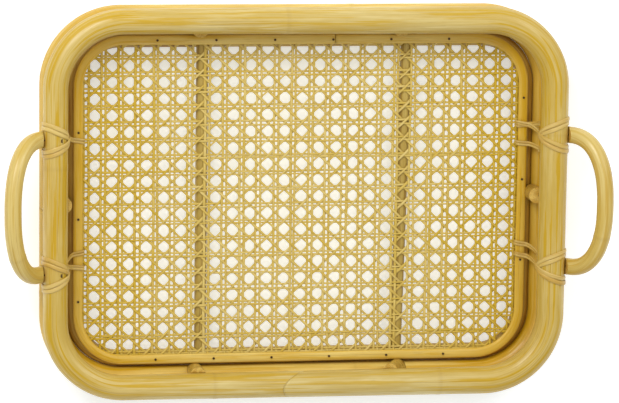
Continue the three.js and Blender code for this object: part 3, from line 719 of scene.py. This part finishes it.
# %% [markdown]
# ## The woven cane
#
# The floor is the classic six-way cane weave. Pairs of upright strands and pairs of cross
# strands weave over and under each other, and single strands run both ways on the slant. Every
# slanting strand passes the middle of each hole's side, so that the holes become octagons. One
# slant goes over the cross strands and under the uprights, and the other does the opposite.
#
# A picture of holes on a sheet would be quicker, but real strands catch the light, cast small
# shadows on each other and leave slits between a pair. Each strand is a thin rolled sheet with
# six sides, whose height follows the weave.

# %% The measures of the weave
WEB_Z = (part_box("cane_webbing")[0].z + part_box("cane_webbing")[1].z) / 2
COLUMN = 12.83 * MM
ROW = 12.25 * MM
HOLE_X = -0.35 * MM
HOLE_Y = 1.9 * MM
UPRIGHT = 1.85 * MM
UPRIGHT_ASIDE = 1.66 * MM
CROSS = 1.5 * MM
CROSS_ASIDE = 1.22 * MM
SLANT = 1.72 * MM
STRAND_THICKNESS = 0.4 * MM
EDGE_X = TRIM_X
EDGE_Y = TRIM_Y
EDGE_BEND = FLOOR_BEND


def on_floor(x, y):
    """True if a point lies inside the middle line of the edge strip."""
    dx = max(abs(x) - (EDGE_X - EDGE_BEND), 0)
    dy = max(abs(y) - (EDGE_Y - EDGE_BEND), 0)
    return math.hypot(dx, dy) < EDGE_BEND


def strand_span(start, heading):
    """How far a straight strand reaches each way before it is under the edge strip."""
    reach = range(-230, 231)
    inside = [t * MM for t in reach if on_floor(*(start + heading * (t * MM))[:2])]
    return (min(inside), max(inside)) if len(inside) > 6 else None


# %% One strand
def strand_section(width, thickness):
    """A thin strip with a crowned top and softened edges, as six sides."""
    cut = [(1.0, -0.1), (0.6, 0.85), (-0.6, 0.85), (-1.0, -0.1), (-0.55, -0.9), (0.55, -0.9)]
    corners = cut + cut[:1]

    def section(distance, turn):
        across, high = corners[round(turn * 6)]
        swell = 1 + 0.16 * noise.noise(Vector((distance * 60, width * 9e4, 0.5)))
        return across * width / 2 * swell, high * thickness / 2
    return section


def lay_strand(bm, number, start, heading, width, height_at):
    """One strand across the floor. height_at(x, y) is how high the weave lifts it."""
    span = strand_span(start, heading)
    if span is None:
        return False
    aside = Vector((-heading.y, heading.x, 0))
    steps = max(8, round((span[1] - span[0]) / (1.55 * MM)))

    def route(share):
        t = span[0] + share * (span[1] - span[0])
        sway = 0.6 * MM * noise.noise(Vector((t * 21, number * 5.7, 1.5)))
        point = start + heading * t + aside * sway
        point.z = WEB_Z + height_at(point.x, point.y)
        return point, Vector((0, 0, 1))

    stations = []
    for i in range(steps + 1):
        point, up = route(i / steps)
        along = route(min((i + 0.2) / steps, 1))[0] - route(max((i - 0.2) / steps, 0))[0]
        side = along.cross(up).normalized()
        stations.append((point, side, side.cross(along).normalized(),
                         (span[1] - span[0]) * i / steps))
    roll(bm, stations, 6, strand_section(width, STRAND_THICKNESS), number)
    return True


# %% Uprights and cross strands
random.seed(11)
PAIR_LIFT = 0.3 * MM
SLANT_LIFT = 0.58 * MM


def pair_wave(phase):
    """The height of a strand of a pair, over one and under the other of the pair it meets."""
    return PAIR_LIFT * (math.sin(phase) + 0.35 * math.sin(2 * phase))


def upright_height(member):
    def height(x, y):
        phase = (y - HOLE_Y) / ROW * math.tau + math.pi
        return pair_wave(phase) * (1 if member == 0 else -1)
    return height


def cross_height(member):
    def height(x, y):
        phase = (x - HOLE_X) / COLUMN * math.tau + math.pi
        return pair_wave(phase) * (-1 if member == 0 else 1)
    return height


def straight_strands(name, count, pitch, width, aside_of_pair, heading, height_of, first_number):
    """All strands of one straight direction, in pairs."""
    bm = new_sheets()
    made = 0
    aside = Vector((abs(heading.y), abs(heading.x), 0))
    for k in range(-count, count + 1):
        for member in (0, 1):
            off = (k + 0.5) * pitch + (-aside_of_pair if member == 0 else aside_of_pair)
            off += random.uniform(-0.3, 0.3) * MM
            start = Vector((HOLE_X * aside.x, HOLE_Y * aside.y, 0)) + aside * off
            own_width = width * random.uniform(0.84, 1.18)
            made += lay_strand(bm, first_number + made, start, heading, own_width,
                               height_of(member))
    print(name, "has", made, "strands")
    return finish_piece(name, bm, ["cane_webbing"], "cane", CANE)


straight_strands("cane_uprights", 13, COLUMN, UPRIGHT, UPRIGHT_ASIDE, Vector((0, 1, 0)),
                 upright_height, 100)
straight_strands("cane_cross_strands", 10, ROW, CROSS, CROSS_ASIDE, Vector((1, 0, 0)),
                 cross_height, 200)


# %% Slanting strands
def slanting_strands(name, sign, first_number):
    """All single strands of one slant."""
    bm = new_sheets()
    made = 0
    heading = Vector((COLUMN, sign * ROW, 0)).normalized()

    def height(x, y):
        return sign * SLANT_LIFT * math.cos((x - HOLE_X) / COLUMN * math.tau)

    for k in range(-24, 24):
        start = Vector((HOLE_X, HOLE_Y + (k + 0.5) * ROW, 0))
        start.y += random.uniform(-0.45, 0.45) * MM
        start -= heading * ((start.y - HOLE_Y) * heading.y)
        width = SLANT * random.uniform(0.84, 1.18)
        made += lay_strand(bm, first_number + made, start, heading, width, height)
    print(name, "has", made, "strands")
    return finish_piece(name, bm, ["cane_webbing"], "cane", CANE)


slanting_strands("cane_rising_strands", 1, 300)
slanting_strands("cane_falling_strands", -1, 400)

# %% [markdown]
# ## The pegs
#
# Six short pegs hold the rings apart. Each is cut from a pole and hollowed to sit over the base
# ring and under the rim, a little inside their middle line, so that half of its flat top shows
# its end grain. A short pole is rolled straight up. Its closed ends are divided into rings, and
# then each point is lifted or lowered to the end's own level, or to the pole it meets.

# %% Pegs between the rings
PEG = 12 * MM
PEG_TOP = RIM_Z - 5 * MM
base_low, base_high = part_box("base_ring")
BASE_POLE = base_high.z - base_low.z
BASE_Z = (base_low.z + base_high.z) / 2
PEG_FOOT = base_high.z - 5 * MM
BASE_X = base_high.x - BASE_POLE / 2
BASE_Y = base_high.y - BASE_POLE / 2


def pole_surface(away, middle, pole, above):
    """Height of a ring's top or underside at a distance from its middle line."""
    half = pole / 2 + 0.25 * MM
    if abs(away) >= half:
        return middle
    return middle + (1 if above else -1) * math.sqrt(half ** 2 - away ** 2)


def peg(name, node, place, outward, inset, lean, number):
    """One peg. It stands inset from the rings' middle line, which lies outward of it."""
    bm = new_sheets()
    stations = walk(lambda share: (Vector((0, 0, share)), outward), 10)
    roll(bm, stations, 36, lambda distance, turn: (PEG / 2 * math.cos(turn * math.tau),
                                                   PEG / 2 * math.sin(turn * math.tau)), number)
    ends = [face for face in bm.faces if abs(face.normal.z) > 0.9 or len(face.verts) > 4]
    for thickness in (0.25, 0.6, 1.2, 1.6, 1.2):
        bmesh.ops.inset_individual(bm, faces=ends, thickness=thickness * MM)
    for face in bm.faces:
        level = {round(vert.co.z, 4) for vert in face.verts}
        face.smooth = len(level) > 1
        face.material_index = 0 if face.smooth else 1
    for vert in bm.verts:
        level = vert.co.z
        reach = math.hypot(vert.co.x, vert.co.y)
        at = place + Vector((vert.co.x, vert.co.y, 0))
        away = (at - place).dot(outward) - inset
        at.x += (level - 0.5) * math.tan(lean) * (PEG_TOP - PEG_FOOT)
        worn = 0.25 * MM if reach > PEG / 2 - 0.1 * MM else 0
        top = min(PEG_TOP - worn, pole_surface(away, RIM_Z, RIM_POLE, False))
        foot = max(PEG_FOOT, pole_surface(away, BASE_Z, BASE_POLE, True))
        at.z = foot + level * (top - foot)
        vert.co = at
    return finish_piece(name, bm, [node], "peg", THIN_POLE, CUT_END)


PEG_LEFT_X = -79
PEG_RIGHT_X = 70
PEG_INSET = 6.2
PEG_RIGHT_INSET = 10
# name, place along or across the tray in mm, way outward, mm inset, degrees of lean
PEGS = (
    ("front_left", PEG_LEFT_X, None, (0, -1, 0), PEG_INSET, 0),
    ("front_right", PEG_RIGHT_X, None, (0, -1, 0), PEG_INSET, -25),
    ("back_left", PEG_LEFT_X, None, (0, 1, 0), PEG_INSET, 0),
    ("back_right", PEG_RIGHT_X, None, (0, 1, 0), PEG_INSET, 0),
    ("left", None, 0, (-1, 0, 0), PEG_INSET, 0),
    ("right", None, 3, (1, 0, 0), PEG_RIGHT_INSET, 0),
)
for number, (name, x, y, outward, inset, lean) in enumerate(PEGS):
    outward = Vector(outward)
    along_x = outward.x * (BASE_X - inset * MM) if x is None else x * MM
    along_y = outward.y * (BASE_Y - inset * MM) if y is None else y * MM
    peg("peg_" + name, "spacer_" + name, Vector((along_x, along_y, 0)), outward, inset * MM,
        math.radians(lean), 11 + number)


# %% [markdown]
# ## The handles
#
# A handle is a thinner, paler pole bent into a D. It lies in a slanting plane that starts at the
# rim's outermost line: straight up for a short way, then round a bend that is squarer than half
# an ellipse, and back. The powers of sine and cosine make it squarer. The two legs are cut off
# plumb where they butt against the rim, so their ends are pushed back to that upright plane.

# %% Handles
HANDLE_POLE = 12.4 * MM
HANDLE_SPREAD = 99 * MM
HANDLE_REACH = 37.2 * MM
HANDLE_LEG = 4 * MM
HANDLE_SQUARENESS = 0.84
HANDLE_SLOPE = math.radians(51)
HANDLE_NODE_SHARE = {1: 0.36, -1: 0.7}  # where its one node lies, as a share of its length


def rim_thickness(side):
    """The rim pole's thickness where a handle meets it: the right end is the fatter one."""
    return RIM_POLE * (1 + side * RIM_SWELL)


def handle(name, node, side, number):
    """One D-shaped handle. side is 1 at the right end and -1 at the left."""
    out = Vector((side * math.cos(HANDLE_SLOPE), 0, math.sin(HANDLE_SLOPE)))
    up = Vector((-side * math.sin(HANDLE_SLOPE), 0, math.cos(HANDLE_SLOPE)))
    butt = RIM_X + rim_thickness(side) / 2 + 0.1 * MM
    seat = Vector((side * (RIM_X + RIM_POLE / 2), 0, RIM_Z))
    half = HANDLE_SPREAD / 2
    stub = HANDLE_POLE
    bend = math.pi * (HANDLE_REACH - HANDLE_LEG + half) / 2
    leg_share = (HANDLE_LEG + stub) / (2 * (HANDLE_LEG + stub) + bend)

    def route(share):
        if share < leg_share:
            far, wide = (HANDLE_LEG + stub) * share / leg_share - stub, -half
        elif share > 1 - leg_share:
            far, wide = (HANDLE_LEG + stub) * (1 - share) / leg_share - stub, half
        else:
            turn = math.pi * ((share - leg_share) / (1 - 2 * leg_share) - 0.5)
            far = max(math.cos(turn), 0) ** HANDLE_SQUARENESS
            far = HANDLE_LEG + (HANDLE_REACH - HANDLE_LEG) * far
            wide = math.copysign(abs(math.sin(turn)) ** HANDLE_SQUARENESS, math.sin(turn)) * half
        return seat + out * far + Vector((0, side * wide, 0)), up

    stations = walk(route, 170)
    nodes = [HANDLE_NODE_SHARE[side] * stations[-1][3]]
    bm = new_sheets()
    girth = natural_girth(HANDLE_POLE, nodes, number)
    roll(bm, stations, 28, round_section(girth), number, nodes)
    for vert in bm.verts:
        short = butt - side * vert.co.x
        if short > 0:
            vert.co += out * (short / math.cos(HANDLE_SLOPE))
    for face in bm.faces:
        if len(face.verts) > 4:
            face.material_index = 1
            face.smooth = False
    return finish_piece(name, bm, [node], "handle_pole", HANDLE, CUT_END)


handle("handle_pole_right", "handle_right", 1, 21)
handle("handle_pole_left", "handle_left", -1, 22)

# %% [markdown]
# ## The lashings
#
# At each leg two arms of flat peel come up from under the handle, one on each side of the leg,
# go over the rim and cross on its inner side. Each arm is two narrow strips laid side by side,
# with a dark crease between them, drawn together where the arms cross. The strips are walked
# round the rim: the route is told as an angle round the pole and a distance aside from the leg.

# %% Smooth ways through a few places
def smooth_way(stops):
    """A smooth run through stops at even shares: a cubic through each four neighbours."""
    def way(share):
        place = share * (len(stops) - 1)
        index = min(int(place), len(stops) - 2)
        t = place - index
        before = stops[max(index - 1, 0)]
        here = stops[index]
        there = stops[index + 1]
        after = stops[min(index + 2, len(stops) - 1)]
        return [0.5 * (2 * b + (c - a) * t + (2 * a - 5 * b + 4 * c - d) * t * t
                       + (3 * b - a - 3 * c + d) * t ** 3)
                for a, b, c, d in zip(before, here, there, after)]
    return way


def leaf(share, ends):
    """Full in the middle and narrowing towards both ends, like a leaf."""
    return ends + (1 - ends) * math.sin(math.pi * min(max(share, 0), 1)) ** 0.6


def strip_section(width, thickness, length=1.0, ends=1.0):
    """A peel strip: a low crown above, nearly flat below, with thin edges."""
    def section(distance, turn):
        angle = turn * math.tau
        wide = width * leaf(distance / length, ends)
        out = math.copysign(abs(math.cos(angle)) ** 0.7, math.cos(angle)) * wide / 2
        crown = 0.62 if math.sin(angle) > 0 else 0.38
        return out, math.sin(angle) * thickness * crown
    return section


# %% Arms over the rim
PEEL_WIDTH = 3.2 * MM
PEEL_THICKNESS = 0.9 * MM
ARM_WIDTH = 5.8 * MM


def lash_arm(bm, side, leg_y, hand, number):
    """Two strips side by side from under the leg, over the rim, to its inner side."""
    half_rim = rim_thickness(side) / 2
    radius = half_rim + 0.42 * PEEL_THICKNESS
    beside = HANDLE_POLE / 2 + 0.3 * MM + ARM_WIDTH / 2
    way = smooth_way([(-66, -0.12), (-54, 0.45), (-30, 1), (10, 1.1), (55, 1.04), (100, 0.74),
                      (145, 0.36), (194, -0.12)])
    seat = Vector((side * RIM_X, leg_y, RIM_Z))
    for strip in (-1, 1):
        def route(share):
            angle, aside = way(share)
            turn = math.radians(angle)
            lift = 0.85 * MM * max(0.0, 1 - share / 0.2) * (hand > 0)
            lift += 0.85 * MM * max(0.0, 1 - (1 - share) / 0.22) * (hand < 0)
            face = Vector((side * math.cos(turn), 0, math.sin(turn)))
            point = seat + face * (radius + lift + 0.12 * MM * strip * hand)
            point.y += hand * aside * beside
            return point, face

        middle = walk(route, 56)
        length = middle[-1][3]
        moved = []
        for point, out, up, distance in middle:
            spacing = (PEEL_WIDTH / 2 + 0.1 * MM) * leaf(distance / length, 0.3)
            stray = 0.35 * MM * noise.noise(Vector((distance * 60, number, strip)))
            moved.append((point + out * (strip * spacing + stray), out, up, distance))
        roll(bm, moved, 14, strip_section(PEEL_WIDTH, PEEL_THICKNESS, length, 0.7),
             number + (strip > 0))


def lashing(name, node, side, leg_y, number):
    bm = new_sheets()
    for hand in (-1, 1):
        lash_arm(bm, side, leg_y, hand, number + 2 * (hand > 0))
    return finish_piece(name, bm, [node], "peel", PEEL)


for side, side_name in ((1, "right"), (-1, "left")):
    for end, end_name in ((-1, "front"), (1, "back")):
        leg_y = end * HANDLE_SPREAD / 2
        lashing(f"lashing_{side_name}_{end_name}", f"handle_lashing_{side_name}_{end_name}",
                side, leg_y, 40 + 8 * (side > 0) + 16 * (end > 0))

# %% [markdown]
# ## The floor ties
#
# From the inner side of the rim, strips run down across the edge strip, through the cane and
# round the floor pole. They hold the rings and the floor together. No two legs are tied alike:
# some ties spread towards the floor and some draw together, so each strip has its own place at
# the rim and at the floor, in millimetres behind its leg. Two strands lie side by side in each.

# %% Ties down to the floor
TIE_STRAND = 1.75 * MM
TIES = {
    "right_front": ("right", -1, [(8.4, 14.8), (-0.5, 6.4)]),
    "right_back": ("right", 1, [(8.0, 4.4), (-0.7, 6.6)]),
    "right_back_2": ("right", 1, [(-11.7, -8.7)]),
    "left_front": ("left", -1, [(5.6, 12.2), (4.4, 0.4)]),
    "left_back": ("left", 1, [(1.5, -4.8)]),
}


def tie_strip(bm, side, leg_y, at_rim, at_floor, over_others, number):
    """One strip from the rim's inner side, down round the floor pole."""
    half_rim = rim_thickness(side) / 2 + 0.5 * PEEL_THICKNESS
    over = trim_high.z + 0.3 * MM + PEEL_THICKNESS / 2 + over_others
    half_trim = TRIM_WIDTH / 2
    round_thin = THIN / 2 + 0.3 * MM + PEEL_THICKNESS / 2
    drop = min(FRAME_X - round_thin, TRIM_X - half_trim - 0.3 * MM - PEEL_THICKNESS / 2)
    lap = math.radians

    def on_rim(angle, more):
        return (RIM_X + (half_rim + more) * math.cos(lap(angle)),
                RIM_Z + (half_rim + more) * math.sin(lap(angle)))

    def on_thin(angle):
        return (FRAME_X + round_thin * math.cos(lap(angle)),
                FRAME_Z + round_thin * math.sin(lap(angle)))

    way = smooth_way([
        (*on_rim(196, 0), 0), (*on_rim(214, 0.3 * MM), 0.05),
        (TRIM_X + half_trim + 4.4 * MM, over + 7 * MM, 0.4),
        (TRIM_X + half_trim + 1 * MM, over + 1.2 * MM, 0.72),
        (TRIM_X, over + 0.1 * MM, 0.85), (TRIM_X - half_trim, over - 0.3 * MM, 0.95),
        (drop - 0.1 * MM, trim_low.z + 0.6 * MM, 1), (drop - 0.2 * MM, WEB_Z, 1),
        (*on_thin(180), 1), (*on_thin(225), 1), (*on_thin(270), 1),
        (FRAME_X + 3 * MM, FRAME_Z - round_thin, 1),
    ])

    def route(share):
        x, z, part = way(share)
        ahead = way(min(share + 1e-3, 1))
        behind = way(max(share - 1e-3, 0))
        face = Vector(((ahead[1] - behind[1]) * side, 0, -(ahead[0] - behind[0]))).normalized()
        aside = (at_rim + part * (at_floor - at_rim)) * MM
        return Vector((side * x, leg_y + aside, z)), face

    middle = walk(route, 90)
    for strand in (-1, 1):
        moved = []
        for point, out, up, distance in middle:
            stray = 0.2 * MM * noise.noise(Vector((distance * 50, number, strand)))
            shift = strand * (TIE_STRAND / 2 + 0.04 * MM) + stray
            moved.append((point + out * shift, out, up, distance))
        roll(bm, moved, 12, strip_section(TIE_STRAND, PEEL_THICKNESS), number + (strand > 0))


for place, (name, (side_name, end, strips)) in enumerate(TIES.items()):
    side = 1 if side_name == "right" else -1
    bm = new_sheets()
    for order, (at_rim, at_floor) in enumerate(strips):
        tie_strip(bm, side, end * HANDLE_SPREAD / 2, at_rim, at_floor, order * 0.7 * MM,
                  80 + 4 * place + 2 * order)
    finish_piece("tie_" + name, bm, ["floor_tie_" + name], "peel", PEEL)
